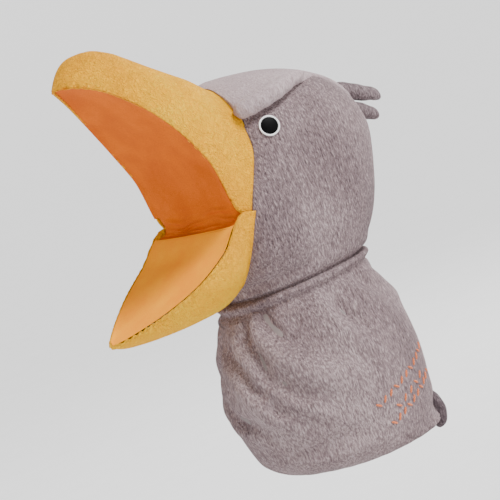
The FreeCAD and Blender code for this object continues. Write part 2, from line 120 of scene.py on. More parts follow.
def swell(obj, pad):
    # a stuffed piece: its cover is blown up as cloth, then each point's travel is capped
    applyModifier(obj, "REMESH", mode="VOXEL", voxel_size=pad["voxel"])
    start = points(obj)
    cloth = obj.modifiers.new("Cover", "CLOTH")
    cloth.settings.quality = swelling["quality"]
    cloth.settings.mass = swelling["mass"]
    cloth.settings.use_pressure = True
    cloth.settings.uniform_pressure_force = pad["pressure"]
    cloth.settings.effector_weights.gravity = 0
    cloth.point_cache.frame_start, cloth.point_cache.frame_end = 1, swelling["frames"]
    for step in range(1, swelling["frames"] + 1):
        bpy.context.scene.frame_set(step)
    shown = obj.evaluated_get(bpy.context.evaluated_depsgraph_get())
    moved = np.zeros(len(shown.data.vertices) * 3)
    shown.data.vertices.foreach_get("co", moved)
    travel = moved.reshape(-1, 3) - start
    long = np.maximum(np.linalg.norm(travel, axis=1), 1e-9)
    obj.modifiers.remove(cloth)
    bpy.context.scene.frame_set(1)
    setPoints(obj, start + travel * np.minimum(1, pad["cap"] / long)[:, None])
    applyModifier(obj, "SUBSURF", levels=1, render_levels=1)
    activate(obj)
    bpy.ops.object.shade_smooth()
    most = float(np.minimum(long, pad["cap"]).max()) * 1000
    print(obj.name, "swelled by up to", round(most, 2), "mm")


def through(knots, values, x):
    # a smooth line through a table's points, without overshoot at its ends
    k, v, x = np.asarray(knots, float), np.asarray(values, float), np.asarray(x, float)
    slope = np.gradient(v, k)
    i = np.clip(np.searchsorted(k, x) - 1, 0, len(k) - 2)
    h = k[i + 1] - k[i]
    t = np.clip((x - k[i]) / h, 0, 1)
    return ((1 + 2 * t) * (1 - t) ** 2 * v[i] + t * (1 - t) ** 2 * h * slope[i]
            + t * t * (3 - 2 * t) * v[i + 1] + t * t * (t - 1) * h * slope[i + 1])


def drape(name, across, along, placeAt):
    # a flat grid whose points are pulled into place: u runs across, v along, both 0 to 1
    deselect()
    bpy.ops.mesh.primitive_grid_add(x_subdivisions=across, y_subdivisions=along, size=1)
    obj = bpy.context.object
    obj.name = obj.data.name = name
    co = points(obj)
    setPoints(obj, placeAt(co[:, 0] + 0.5, co[:, 1] + 0.5))
    return obj


def roundCos(a, power):
    c = np.cos(a)
    return np.sign(c) * np.abs(c) ** (2 / power)


def roundSin(a, power):
    s = np.sin(a)
    return np.sign(s) * np.abs(s) ** (2 / power)


def ellipseReach(a, power):
    # how far a rounded square reaches at turn a, for a half width of 1
    return (np.abs(np.cos(a)) ** power + np.abs(np.sin(a)) ** power) ** (-1 / power)


def ramp(x, start, end):
    # 0 before start, 1 past end, straight between
    return np.clip((x - start) / (end - start), 0, 1)


def hump(x, width):
    # 1 where x is 0, and fades within the width on both sides
    return np.exp(-(x / width) ** 2)


def arcFrom(a, turn, girth):
    # how far turn a is from another turn, along a round of that radius in mm
    return np.angle(np.exp(1j * (a - turn))) * girth


def giveMaterial(obj, material):
    obj.data.materials.clear()
    obj.data.materials.append(material)


# cloths and finishes

class Wire:
    # wraps a socket, so that shader maths reads as plain sums

    def __init__(self, tree, socket=None):
        self.tree, self.socket = tree, socket

    def add(self, kind, settings=None, sockets=None, out=0):
        made = self.tree.nodes.new(kind)
        for key, value in (settings or {}).items():
            if key == "stops":
                ramp = made.color_ramp
                while len(ramp.elements) < len(value):
                    ramp.elements.new(0.5)
                for stop, (place, colour) in zip(ramp.elements, value):
                    stop.position, stop.color = place, colour
            else:
                setattr(made, key, value)
        for key, value in (sockets or {}).items():
            if isinstance(value, Wire):
                self.tree.links.new(value.socket, made.inputs[key])
            else:
                made.inputs[key].default_value = value
        return Wire(self.tree, made.outputs[out] if made.outputs else None)

    def sum(self, operation, first, second):
        return self.add("ShaderNodeMath", {"operation": operation}, {0: first, 1: second})

    def __add__(self, other):
        return self.sum("ADD", self, other)

    __radd__ = __add__

    def __sub__(self, other):
        return self.sum("SUBTRACT", self, other)

    def __rsub__(self, other):
        return self.sum("SUBTRACT", other, self)

    def __mul__(self, other):
        return self.sum("MULTIPLY", self, other)

    __rmul__ = __mul__


def newMaterial(name, paint, **constants):
    mat = bpy.data.materials.new(name)
    mat.use_nodes = True
    tree = mat.node_tree
    tree.nodes.clear()
    out = tree.nodes.new("ShaderNodeOutputMaterial")
    shader = tree.nodes.new("ShaderNodeBsdfPrincipled")
    tree.links.new(shader.outputs[0], out.inputs["Surface"])
    for key, value in constants.items():
        shader.inputs[key.replace("_", " ")].default_value = value
    desk = Wire(tree)
    for key, wire in paint(desk, desk.add("ShaderNodeTexCoord", out="Object")).items():
        tree.links.new(wire.socket, shader.inputs[key])
    return mat


def rgb(r, g, b):
    # screen colour, 0 to 255, to the shader's linear colour
    def linear(c):
        return c / 255 / 12.92 if c < 11 else ((c / 255 + 0.055) / 1.055) ** 2.4
    return linear(r), linear(g), linear(b), 1.0


def strands(desk, place, scale, stretch, distortion=0.5, detail=3.0, turn=(0, 0, 0)):
    # short strokes that lie along the nap
    laid = desk.add("ShaderNodeMapping", {}, {"Vector": place, "Rotation": turn, "Scale": stretch})
    return desk.add("ShaderNodeTexNoise", {}, {
        "Vector": laid, "Scale": scale, "Detail": detail, "Roughness": 0.6, "Distortion": distortion})


def pileMaterial(name, dark, middle, light, pile):
    def paint(desk, place):
        strokes = strands(desk, place, pile["scale"], pile["stretch"], pile["swirl"], 2.5, pile["turn"])
        fine = strands(desk, place, pile["scale"] * 2.6, pile["stretch"], 0.3, 2.0, pile["turn"])
        # broad light and dark patches: partly the nap's brushed patches, partly painted sheen
        broad = strands(desk, place, pile["patch"], (1, 1, 0.6), 0.2, 2.0)
        height = strokes * 0.72 + fine * 0.28
        level = 0.5 - 0.5 * (pile["contrast"] + pile["napPatchAndSheenShare"])
        tone = height * pile["contrast"] + broad * pile["napPatchAndSheenShare"] + level
        stops = [(pile["low"], dark), (0.5, middle), (pile["high"], light)]
        colour = desk.add("ShaderNodeValToRGB", {"stops": stops}, {"Fac": tone})
        bump = desk.add("ShaderNodeBump", {}, {
            "Strength": pile["bump"], "Distance": pile["depth"], "Height": height})
        return {"Base Color": colour, "Normal": bump}
    return newMaterial(name, paint, Roughness=0.92, Sheen_Weight=pile["sheen"], Sheen_Roughness=0.45,
                       Sheen_Tint=pile["sheenTint"], Specular_IOR_Level=0.18)


greyPile = {"scale": 860.0, "stretch": (1.0, 1.0, 0.3), "swirl": 0.35, "turn": (0.35, 0.0, 0.0),
            "patch": 13.0, "contrast": 0.98, "napPatchAndSheenShare": 0.4, "low": 0.3, "high": 0.68,
            "bump": 1.0, "depth": 0.0032, "sheen": 0.12, "sheenTint": rgb(215, 200, 202)}
yellowPile = {**greyPile, "scale": 400.0, "stretch": (1.0, 1.0, 0.75), "swirl": 2.2, "contrast": 0.45,
              "depth": 0.004, "sheen": 0.06, "sheenTint": rgb(255, 210, 120)}
greyPlush = pileMaterial("greyPlush", rgb(76, 61, 65), rgb(132, 113, 115), rgb(182, 164, 164), greyPile)
# the crown and brows are paler partly because their nap lies the other way, partly by painted light from above
paleNapTopLitPlush = pileMaterial("paleNapTopLitPlush", rgb(112, 94, 97), rgb(162, 144, 146), rgb(200, 184, 184),
                         {**greyPile, "contrast": 0.6, "bump": 0.5, "turn": (1.1, 0.0, 0.0)})
darkPlush = pileMaterial("darkPlush", rgb(48, 40, 43), rgb(80, 68, 72), rgb(118, 104, 108),
                         {**greyPile, "bump": 0.6})
crestPlush = pileMaterial("crestPlush", rgb(66, 55, 58), rgb(118, 102, 105), rgb(166, 150, 152),
                          {**greyPile, "turn": (1.3, 0.0, 0.0)})
yellowPlush = pileMaterial("yellowPlush", rgb(212, 122, 0), rgb(253, 178, 0), rgb(255, 218, 50), yellowPile)


def velourMaterial(name, dark, light):
    def paint(desk, place):
        fine = strands(desk, place, 1500.0, (1, 1, 1), 0.2, 3.0)
        broad = strands(desk, place, 34.0, (1, 1, 1), 0.3, 3.0)
        tone = fine * 0.7 + broad * 0.5 - 0.1
        colour = desk.add("ShaderNodeValToRGB", {"stops": [(0.36, dark), (0.64, light)]}, {"Fac": tone})
        bump = desk.add("ShaderNodeBump", {}, {
            "Strength": 0.35, "Distance": 0.0006, "Height": fine + broad * 0.6})
        return {"Base Color": colour, "Normal": bump}
    return newMaterial(name, paint, Roughness=0.85, Sheen_Weight=0.08, Sheen_Roughness=0.4,
                       Sheen_Tint=rgb(255, 150, 60), Specular_IOR_Level=0.12)


# one velour in two tones: the palate's deeper orange is painted shade, the jaw's lighter yellow-orange is
# painted light from above
shadedPalateVelour = velourMaterial("shadedPalateVelour", rgb(178, 78, 0), rgb(210, 104, 2))
litJawVelour = velourMaterial("litJawVelour", rgb(246, 142, 0), rgb(255, 172, 0))


def wovenMaterial(name, dark, light, pitch=900.0):
    def paint(desk, place):
        warp, weft = (desk.add("ShaderNodeTexWave", {"bands_direction": way}, {
            "Vector": place, "Scale": pitch, "Distortion": 0.6}) for way in ("X", "Z"))
        cloudy = strands(desk, place, 60.0, (1, 1, 1))
        weave = warp * 0.5 + weft * 0.5
        colour = desk.add("ShaderNodeValToRGB", {"stops": [(0.2, dark), (0.8, light)]}, {
            "Fac": weave * 0.5 + cloudy * 0.5})
        bump = desk.add("ShaderNodeBump", {}, {"Strength": 0.4, "Distance": 0.0004, "Height": weave})
        return {"Base Color": colour, "Normal": bump}
    return newMaterial(name, paint, Roughness=0.9, Specular_IOR_Level=0.2)


liningCloth = wovenMaterial("liningCloth", rgb(118, 108, 108), rgb(150, 140, 138))
seamTape = wovenMaterial("seamTape", rgb(104, 94, 96), rgb(140, 128, 128), 1400.0)


def fibreMaterial(name, dark, light, scale=220.0, bump=0.8):
    def paint(desk, place):
        tangle = strands(desk, place, scale, (1, 1, 1), 2.0, 5.0)
        colour = desk.add("ShaderNodeValToRGB", {"stops": [(0.3, dark), (0.7, light)]}, {"Fac": tangle})
        return {"Base Color": colour, "Normal": desk.add("ShaderNodeBump", {}, {
            "Strength": bump, "Distance": 0.002, "Height": tangle})}
    return newMaterial(name, paint, Roughness=0.95, Specular_IOR_Level=0.1)


stuffing = fibreMaterial("stuffing", rgb(205, 205, 200), rgb(245, 245, 242))
boardCard = fibreMaterial("boardCard", rgb(150, 130, 104), rgb(178, 158, 130), 500.0, 0.2)


def threadMaterial(name, dark, light):
    def paint(desk, place):
        twist = desk.add("ShaderNodeTexWave", {"bands_direction": "DIAGONAL"}, {
            "Vector": place, "Scale": 420.0, "Distortion": 1.0, "Detail": 2.0})
        colour = desk.add("ShaderNodeValToRGB", {"stops": [(0.15, dark), (0.75, light)]}, {"Fac": twist})
        return {"Base Color": colour, "Normal": desk.add("ShaderNodeBump", {}, {
            "Strength": 0.5, "Distance": 0.0005, "Height": twist})}
    return newMaterial(name, paint, Roughness=0.6, Sheen_Weight=0.2)


motifThread = threadMaterial("motifThread", rgb(176, 76, 30), rgb(222, 122, 66))


def eyeMaterial(name, dark, light, roughness, gloss):
    def paint(desk, place):
        scuffs = strands(desk, place, 900.0, (1, 1, 1), 0.4, 3.0)
        colour = desk.add("ShaderNodeValToRGB", {"stops": [(0.35, dark), (0.65, light)]}, {"Fac": scuffs})
        return {"Base Color": colour, "Roughness": scuffs * 0.2 + (roughness - 0.1), "Normal": desk.add(
            "ShaderNodeBump", {}, {"Strength": 0.12, "Distance": 0.0003, "Height": scuffs})}
    return newMaterial(name, paint, Specular_IOR_Level=gloss)


eyeWhite = eyeMaterial("eyeWhite", rgb(236, 236, 234), rgb(252, 252, 252), 0.55, 0.4)
eyeBlack = eyeMaterial("eyeBlack", rgb(1, 1, 1), rgb(4, 4, 5), 0.5, 0.06)
print("finishes made:", len(bpy.data.materials))


# head and sleeve: one table each of height, half width, half depth and middle, in mm

headShape = {
    "z": [135.4, 136.6, 139.5, 146, 160, 177, 195, 215, 235, 249, 260, 270, 277, 281, 282.6],
    "wide": [46.5, 50.0, 52.6, 54.5, 58, 60.5, 62, 62.5, 61, 57, 51, 41, 27.5, 12, 0.01],
    "deep": [51.5, 54.8, 57.2, 59.5, 62.5, 65, 66.5, 67.5, 65, 60, 53, 42, 29, 13.5, 0.01],
    "middle": [-13, -12.8, -11, -8, -2, 4, 9, 12, 10, 6, 1, -5, -13, -19, -20.5],
    "power": 2.25, "centre": 12, "turns": 256, "rows": 160, "cloth": 0.0022,
}
seamShape = {  # where the beak's covers are sewn to the head
    "z": [140, 148, 156.5, 166, 175, 186, 194.5, 201, 216, 231, 248, 258, 271, 278, 283],
    "wide": [1, 24, 36, 44.5, 50, 54.5, 57, 57.3, 56, 54, 49, 45, 33, 20, 0.5],
    "y": [-69, -69.2, -68.3, -66.3, -64, -60.5, -57, -54, -45, -37, -34, -33.4, -32.5, -32, -32],
}
sleeveShape = {
    "z": [0.2, -1.2, -0.2, 5, 14, 23, 45, 65, 86, 107, 118, 124, 126.8, 129, 131.5, 133.6, 135.0],
    "wide": [45.6, 47.5, 50.5, 54.5, 58.2, 60.3, 63, 64, 61, 55.4, 52.6, 50.6, 48.6, 50.4, 52.0, 50.2, 46.2],
    "deep": [45.6, 47.5, 50.5, 57.5, 64, 68, 72.5, 74, 71, 64, 60.2, 57.4, 55.2, 56.8, 58.2, 56.0, 51.4],
    "middle": [0, 0, -1.5, -11, -16.5, -18, -19, -20, -18.5, -17, -16.2, -15.3, -15, -14.6, -14.1, -13.5, -13],
    "power": 2.15, "turns": 256, "rows": 160, "cloth": 0.0022, "foldDepth": 4.2, "foldMost": 5.6,
}


profileSteps = 600


def alongProfile(shape, v):
    # v runs evenly along the profile's own length, so that its grid stays square over the top
    z, wide = np.array(shape["z"], float), np.array(shape["wide"], float)
    steps = np.linspace(0, len(z) - 1, profileSteps)
    base = np.arange(len(z))
    line = {key: through(base, shape[key], steps) for key in ("z", "wide", "deep", "middle")}
    run = np.concatenate([[0], np.cumsum(np.hypot(np.diff(line["z"]), np.diff(line["wide"])))])
    return {key: np.interp(v * run[-1], run, line[key]) for key in line}


def frontPower(z, wide, deep, middle):
    # how square the front of the head is, so that its side runs into the beak's edge
    atX, atY = (through(seamShape["z"], seamShape[key], z) for key in ("wide", "y"))
    share = np.clip(atX / wide, 0.05, 0.97)
    reach = np.clip((middle - atY) / deep, 0.05, 0.97)
    low, high = np.full_like(z, 2.0), np.full_like(z, 9.0)
    for step in range(24):
        guess = (low + high) / 2
        over = share ** guess + reach ** guess > 1
        low, high = np.where(over, guess, low), np.where(over, high, guess)
    blendIn = ramp(z, 138, 150) * ramp(z, 276, 262)
    return headShape["power"] + (np.clip(low, 2.1, 7.0) - headShape["power"]) * blendIn


def headPoint(a, v, out=0.0):
    # a turns from +X towards +Y; out moves the surface outwards, in mm
    p = alongProfile(headShape, v)
    z, wide, middle = p["z"], p["wide"], p["middle"]
    extra = 8 * ramp(z, 140, 154) * ramp(z, 244, 218)
    front = np.sin(a) < 0
    deep = np.where(front, p["deep"] + extra, p["deep"])
    power = np.where(front, frontPower(z, wide, p["deep"] + extra, middle), headShape["power"])
    reach = ellipseReach(a, power)
    x = (wide + out) * reach * np.cos(a)
    y = middle + (deep + out) * reach * np.sin(a)
    atY = through(seamShape["z"], seamShape["y"], z)
    inside = np.clip((through(seamShape["z"], seamShape["wide"], z) + 1 - np.abs(x)) / 9, 0, 1)
    face = atY + 1.2 * inside
    mouthHigh = ramp(z, 139, 144) * ramp(z, 284, 278)
    y = np.where(front & (y < face), y + (face - y) * mouthHigh, y)
    return np.column_stack([x, y, z + out * ramp(z, 262, 277)])


def creases(a, z, lines, girth=58.0):
    # how far the folds press in: each line is two (turn in degrees, height) ends, a width and a depth
    total = np.zeros_like(a)
    for a0, z0, a1, z1, width, depth in lines:
        for turn in (-360, 0, 360):
            px, pz = np.degrees(a) + turn, z
            ax, bx = a0 * girth * math.pi / 180, a1 * girth * math.pi / 180
            x = px * girth * math.pi / 180
            length = (bx - ax) ** 2 + (z1 - z0) ** 2
            t = np.clip(((x - ax) * (bx - ax) + (pz - z0) * (z1 - z0)) / length, 0, 1)
            wave = np.sin(t * 5 + a0) * width * 0.35
            across = ((x - ax) * (z1 - z0) - (pz - z0) * (bx - ax)) / math.sqrt(length) + wave
            away = np.hypot(x - (ax + t * (bx - ax)), pz - (z0 + t * (z1 - z0)))
            fade = np.exp(-np.maximum(away - np.abs(across), 0) ** 2 / (width * 2.2) ** 2)
            taper = 0.35 + 0.65 * np.sin(math.pi * np.clip(t * 0.9 + 0.05, 0, 1))
            ridge = 0.55 * hump(across - 1.9 * width, 1.3 * width)  # the cloth beside a fold puffs out
            total += fade * taper * depth * (hump(across, width) - ridge)
    return total


# sleeve: puffed cloth over the forearm, tucked in at the hem, gathered under the neck roll
sleeveFolds = [
    (-61, 134, -44, 104, 4.6, 1.6), (-44, 104, -25, 86, 5.0, 1.2), (-75, 130, -69, 107, 4.6, 1.4),
    (-69, 107, -55, 82, 5.0, 1.7), (-55, 82, -33, 60, 5.6, 1.4), (-88, 100, -60, 70, 4.8, 1.6),
    (-60, 70, -49, 51, 5.6, 1.1), (-3, 116, 6, 90, 4.6, 1.2), (-43, 116, -5, 75, 6.5, 0.9),
    (-104, 66, -78, 48, 5.4, 1.3), (22, 126, 34, 104, 5.0, 1.1), (-119, 134, -136, 104, 4.8, 1.5),
    (-136, 104, -155, 84, 5.2, 1.2), (-112, 104, -128, 76, 5.0, 1.4), (-60, 30, -22, 22, 7.0, 0.9),
    (60, 118, 88, 94, 6.5, 1.2), (104, 66, 140, 50, 8.0, 1.3), (150, 122, 120, 92, 6.0, 1.4),
    (176, 60, 205, 40, 8.0, 1.1), (96, 30, 70, 16, 6.0, 0.9),
]


sleeveGathers = {"seamDepth": 0.9, "seamWide": 1.5, "girth": 58, "depth": 0.5,
                 "neck": 130.6, "tuck": 131.6, "hem": 3.0}


def sleevePoint(a, v):
    p = alongProfile(sleeveShape, v)
    z = p["z"]
    depth, most = sleeveGathers["depth"], sleeveShape["foldMost"]
    reach = ellipseReach(a, sleeveShape["power"])
    press = most * np.tanh(sleeveShape["foldDepth"] * creases(a, z, sleeveFolds) / most)
    press = press * ramp(z, 4, 14) * ramp(z, 130, 122)
    # front and back seams pull a narrow groove
    for seam in (-math.pi / 2, math.pi / 2):
        groove = hump(arcFrom(a, seam, sleeveGathers["girth"]), sleeveGathers["seamWide"])
        press += sleeveGathers["seamDepth"] * groove * ramp(z, 1, 7) * ramp(z, 131, 125)
    # small gathers along the neck roll and the tucked hem
    gather = np.sin(a * 46 + 1.3 * np.sin(a * 5)) + 0.6 * np.sin(a * 29 + 2)
    press += depth * gather * hump(z - sleeveGathers["neck"], 3.6)
    press += depth * np.sin(a * 60 + 2.2 * np.sin(a * 7)) * hump(z - sleeveGathers["tuck"], 1.8)
    press += depth * (np.sin(a * 21 + 0.7) + 0.7 * np.sin(a * 34)) * hump(z - sleeveGathers["hem"], 5.0)
    x = (p["wide"] - press) * reach * np.cos(a)
    y = p["middle"] + (p["deep"] - press) * reach * np.sin(a)
    lift = (2.2 * np.sin(a * 2 + 0.6) + 1.1 * np.sin(a * 5 + 2)) * ramp(z, 26, -4) * ramp(z, 1.5, 9.5)
    return np.column_stack([x, y, z + lift])


sleeveSkin = drape("sleeveSkin", sleeveShape["turns"], sleeveShape["rows"],
                   lambda u, v: sleevePoint(2 * math.pi * u, v) / 1000)
tidyMesh(sleeveSkin)
thicken(sleeveSkin, sleeveShape["cloth"])
giveMaterial(sleeveSkin, greyPlush)

# the sleeve's lining hangs inside it, from the hem's facing to the neck
liningShape = {"turns": 160, "rows": 90, "inset": 5.2, "from": 0.075, "to": 0.93, "cloth": 0.0008}


def liningPoint(u, v):
    a = 2 * math.pi * u
    p = alongProfile(sleeveShape, liningShape["from"] + (liningShape["to"] - liningShape["from"]) * v)
    slack = 0.5 * np.sin(a * 9 + p["z"] * 0.11) + 0.35 * np.sin(a * 17 - p["z"] * 0.07)
    reach = ellipseReach(a, sleeveShape["power"])
    inset = liningShape["inset"] + slack
    x = (p["wide"] - inset) * reach * np.cos(a)
    y = p["middle"] + (p["deep"] - inset) * reach * np.sin(a)
    return np.column_stack([x, y, p["z"]])


sleeveLining = drape("sleeveLining", liningShape["turns"], liningShape["rows"],
                     lambda u, v: liningPoint(u, v) / 1000)
tidyMesh(sleeveLining)
thicken(sleeveLining, liningShape["cloth"])
giveMaterial(sleeveLining, liningCloth)

headFolds = [
    (-42, 141, -8, 150, 6.0, 1.5), (-150, 142, -178, 152, 6.0, 1.6), (40, 146, 78, 140, 7.0, 1.3),
    (120, 142, 150, 150, 6.0, 1.2), (-36, 166, -28, 196, 8.0, 0.9), (-145, 170, -152, 198, 8.0, 0.9),
    (100, 176, 128, 196, 9.0, 0.8), (48, 182, 70, 204, 9.0, 0.7),
]


headGathers = {"girth": 60, "seamDepth": 0.8, "browHollow": 2.6, "hollowWide": 3.2, "edgeDip": 0.35,
               "hollowY": [-36, -16, 4, 28], "hollowZ": [250.6, 253.4, 256.4, 259.6]}


def headSkinPoint(a, v):
    co = headPoint(a, v)
    x, y, z = co.T
    press = creases(a, z, headFolds, 62.0) * ramp(z, 139, 145)
    gather = np.sin(a * 38 + 1.1 * np.sin(a * 4)) + 0.5 * np.sin(a * 61)
    press += 0.3 * gather * hump(z - 139, 3.0)
    # the back seam
    groove = headGathers["seamDepth"] * hump(arcFrom(a, math.pi / 2, headGathers["girth"]), 1.5)
    press += groove * ramp(z, 142, 148) * ramp(z, 232, 224)
    # a hollow under each brow
    under = through(headGathers["hollowY"], headGathers["hollowZ"], y)
    beside = ramp(y, -38, -33) * ramp(y, 30, 22) * (np.abs(x) > 20)
    press += headGathers["browHollow"] * hump(z - under, headGathers["hollowWide"]) * beside
    # the side dips to the beak's edge
    ahead = y - through(seamShape["z"], seamShape["y"], z)
    dip = hump(np.maximum(ahead - 0.5, 0), 2.6) * (np.sin(a) < 0) * ramp(z, 142, 148)
    press += headGathers["edgeDip"] * dip
    out = np.column_stack([x, y - headShape["centre"], np.zeros_like(z)])
    out /= np.maximum(np.linalg.norm(out, axis=1), 1)[:, None]
    return co - out * press[:, None]


headSkin = drape("headSkin", headShape["turns"], headShape["rows"],
                 lambda u, v: headSkinPoint(2 * math.pi * u, v) / 1000)
tidyMesh(headSkin)
thicken(headSkin, headShape["cloth"])
giveMaterial(headSkin, greyPlush)
print("sleeve and head draped")

# camera, light and floor

view = {"azimuth": 60.0, "elevation": 7.0, "roll": 21.8, "target": (0.0, -0.037, 0.1635),
        "distance": 1.5, "width": 0.35, "sensor": 36}


def cameraBasis():
    az, el, roll = (math.radians(view[k]) for k in ("azimuth", "elevation", "roll"))
    back = Vector((math.sin(az) * math.cos(el), -math.cos(az) * math.cos(el), math.sin(el)))
    right = Vector((math.cos(az), math.sin(az), 0))
    up = back.cross(right)
    return back, right * math.cos(roll) - up * math.sin(roll), up * math.cos(roll) + right * math.sin(roll)


back, right, up = cameraBasis()
deselect()
bpy.ops.object.camera_add(location=Vector(view["target"]) + back * view["distance"])
camera = bpy.context.object
camera.rotation_euler = Matrix((right, up, back)).transposed().to_euler()
camera.data.sensor_width = view["sensor"]
camera.data.lens = view["sensor"] * view["distance"] / view["width"]
bpy.context.scene.camera = camera


def areaLamp(name, place, size, power):
    deselect()
    bpy.ops.object.light_add(type="AREA", location=place)
    lamp = bpy.context.object
    lamp.name, lamp.data.size, lamp.data.energy = name, size, power
    lamp.rotation_euler = (Vector(view["target"]) - Vector(place)).to_track_quat("-Z", "Y").to_euler()


lamps = {  # place, size and power
    "fill": ((1.35, 0.2, 0.45), 1.2, 4.0), "rim": ((-0.5, 0.8, 0.8), 0.8, 7.0),
    "front": ((-0.3, -1.2, 0.35), 1.0, 4.0),
}
for lampName, (place, size, power) in lamps.items():
    areaLamp(lampName, place, size, power)
sunLight = {"strength": 5.0, "angle": 0.4, "toCamera": 0.5, "toTop": 1.0, "toRight": 0.25, "sky": 0.46}
deselect()
bpy.ops.object.light_add(type="SUN", location=(0.4, -0.4, 1.5))
sun = bpy.context.object
sun.name, sun.data.energy, sun.data.angle = "softSun", sunLight["strength"], sunLight["angle"]
sunFrom = back * sunLight["toCamera"] + up * sunLight["toTop"] + right * sunLight["toRight"]
sun.rotation_euler = sunFrom.to_track_quat("Z", "Y").to_euler()
world = bpy.data.worlds.new("studio")
bpy.context.scene.world = world
world.use_nodes = True
world.node_tree.nodes["Background"].inputs["Color"].default_value = (1, 1, 1, 1)
world.node_tree.nodes["Background"].inputs["Strength"].default_value = sunLight["sky"]

# the floor rises like a bowl far away, so that no horizon shows
floorShape = {"size": 90, "low": -0.12, "rise": 6, "flatTo": 6, "highAt": 45}
deselect()
bpy.ops.mesh.primitive_grid_add(x_subdivisions=90, y_subdivisions=90, size=floorShape["size"])
floor = bpy.context.object
floor.name = "paleFloor"
co = points(floor)
farOut = ramp(np.hypot(co[:, 0], co[:, 1]), floorShape["flatTo"], floorShape["highAt"])
co[:, 2] = floorShape["low"] + floorShape["rise"] * farOut ** 2
setPoints(floor, co)
bpy.ops.object.shade_smooth()
giveMaterial(floor, newMaterial("paleFloorPaint", lambda desk, place: {"Base Color": desk.add(
    "ShaderNodeValToRGB", {"stops": [(0.3, (0.9, 0.9, 0.9, 1)), (0.7, (0.92, 0.92, 0.92, 1))]},
    {"Fac": strands(desk, place, 30.0, (1, 1, 1))})}, Roughness=0.9))
print("camera, lamps and floor placed")

# beak: two covers, two velour faces and the fold between them

# each half is laid out closed, along its own axis from the hinge line, and then lifted; seam is the
# height where its rim and its ridge meet the head, and the lining starts at liningFrom of its length
hingeLine = {"y": -65.0, "z": 194.5}
upperBeak = {
    "lift": -61.3, "power": 2.3, "across": 190, "along": 170, "cloth": 0.0018, "pucker": 0.7,
    "seam": (194.5, 283.0), "up": 1, "sag": 1.5, "liningFrom": 0.12, "foldFrom": 0.13,
    "v": [0, 0.055, 0.24, 0.37, 0.51, 0.66, 0.74, 0.86, 0.95, 1.0],
    "rimAlong": [-3.8, 0, 40, 64, 88, 112, 121, 133, 138.8, 140.8],
    "rimHigh": [7.0, 1.0, 13.2, 15.8, 15.8, 13.0, 11.0, 6.0, 1.5, -0.5],
    "wide": [56.5, 56, 55.5, 53.5, 47.5, 36.5, 31, 19.5, 9, 0.05],
    "ridgeAlong": [55, 58, 78, 91, 104, 119, 128, 142, 146.5, 141.0],
    "ridgeHigh": [72, 71.2, 65, 59, 53.5, 48.5, 45, 33, 15.5, -0.3],
    "folds": [(0.12, 0.1, 0.2, 0.3, 0.03, 0.9), (0.9, 0.06, 0.82, 0.28, 0.03, 0.9),
              (0.3, 0.04, 0.36, 0.14, 0.025, 0.6), (0.5, 0.8, 0.42, 0.94, 0.05, 0.7),
              (0.7, 0.05, 0.64, 0.15, 0.025, 0.6)],
}
lowerBeak = {
    "lift": 26.2, "power": 2.2, "across": 170, "along": 150, "cloth": 0.0018, "pucker": 1.15,
    "seam": (194.5, 140.0), "up": -1, "sag": 1.3, "liningFrom": 0.14, "foldFrom": 0.15,
    "v": [0, 0.06, 0.3, 0.46, 0.66, 0.83, 0.93, 1.0],
    "rimAlong": [-4.9, 0, 32, 54, 79, 98, 106, 110],
    "rimHigh": [-7.4, -1.0, -4.6, -5.6, -4.6, -2.4, -1.2, -0.8],
    "wide": [56.5, 56.5, 58, 53.5, 38, 19.5, 9.5, 0.05],
    "ridgeAlong": [26.8, 28, 42, 56, 76, 95, 105, 110.1],
    "ridgeHigh": [-45.3, -45, -41.5, -36, -26, -14.5, -7, -1.0],
    "folds": [(0.1, 0.06, 0.3, 0.2, 0.05, 1.2), (0.9, 0.06, 0.7, 0.2, 0.05, 1.2),
              (0.4, 0.1, 0.45, 0.5, 0.05, 0.8), (0.6, 0.1, 0.58, 0.45, 0.05, 0.8)],
}


def beakToRow(shape, x, along, high):
    turn = math.radians(shape["lift"])
    c, s = math.cos(turn), math.sin(turn)
    return np.column_stack([x, hingeLine["y"] - along * c - high * s, hingeLine["z"] - along * s + high * c])


def coverPoint(shape, u, v):
    # u: one rim, over the ridge, to the other rim. v: the head's seam to the tip
    at = {key: through(shape["v"], shape[key], v)
          for key in ("rimAlong", "rimHigh", "wide", "ridgeAlong", "ridgeHigh")}
    a = math.pi * u
    rise = np.abs(roundSin(a, shape["power"]))
    x = np.maximum(at["wide"], 0) * roundCos(a, shape["power"])
    along = at["rimAlong"] + (at["ridgeAlong"] - at["rimAlong"]) * rise
    high = at["rimHigh"] + (at["ridgeHigh"] - at["rimHigh"]) * rise
    row = beakToRow(shape, x, along, high)
    # the first rows bend to the seam on the head
    seamLow, seamHigh = shape["seam"]
    seamZ = seamLow + (seamHigh - seamLow) * rise ** 1.05
    seamX = through(seamShape["z"], seamShape["wide"], seamZ) * np.sign(np.cos(a))
    seam = np.column_stack([seamX * 0.985, through(seamShape["z"], seamShape["y"], seamZ) + 1.8, seamZ])
    first = beakToRow(shape, shape["wide"][0] * roundCos(a, shape["power"]),
                      shape["rimAlong"][0] + (shape["ridgeAlong"][0] - shape["rimAlong"][0]) * rise,
                      shape["rimHigh"][0] + (shape["ridgeHigh"][0] - shape["rimHigh"][0]) * rise)
    pull = np.clip(1 - v / 0.34, 0, 1) ** 2
    return row + (seam - first) * pull[:, None]


